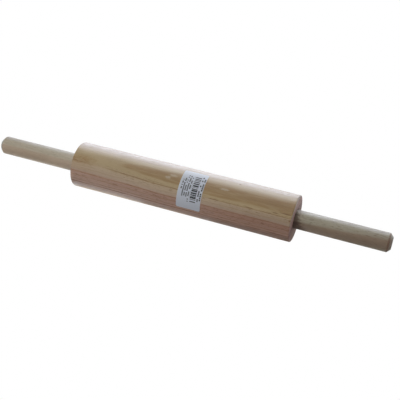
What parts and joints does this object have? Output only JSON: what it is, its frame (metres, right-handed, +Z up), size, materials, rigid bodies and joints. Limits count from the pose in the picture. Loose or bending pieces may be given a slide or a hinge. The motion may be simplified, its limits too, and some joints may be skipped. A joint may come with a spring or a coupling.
{
  "type": "rolling pin",
  "caption": "Wooden rolling pin: a straight pine barrel that turns on dowel handles held by hidden pegs, with a paper label on the barrel.",
  "frame": {"origin": "on the table, under the middle of the barrel", "axes": "+X along the pin, towards the right handle; +Z up; -Y towards the side that the label is on"},
  "size_m": [0.45, 0.0502, 0.0502],
  "materials": {
    "barrel_pine": "sanded pine, unvarnished",
    "handle_hardwood": "sanded pale hardwood dowel, unvarnished",
    "peg_hardwood": "hardwood peg, end grain sanded flush",
    "label_paper": "smooth self-adhesive paper"
  },
  "bodies": {
    "barrel": {"barrel": "barrel_pine", "left_retaining_peg": "peg_hardwood", "right_retaining_peg": "peg_hardwood", "price_label": "label_paper"},
    "left_handle": {"left_handle": "handle_hardwood"},
    "right_handle": {"right_handle": "handle_hardwood"}
  },
  "joints": [
    {"name": "left_handle_spin", "type": "hinge", "parent": "barrel", "child": "left_handle", "pos_m": [-0.125, 0, 0.025], "axis": [1, 0, 0], "continuous": true},
    {"name": "right_handle_spin", "type": "hinge", "parent": "barrel", "child": "right_handle", "pos_m": [0.125, 0, 0.025], "axis": [1, 0, 0], "continuous": true}
  ]
}
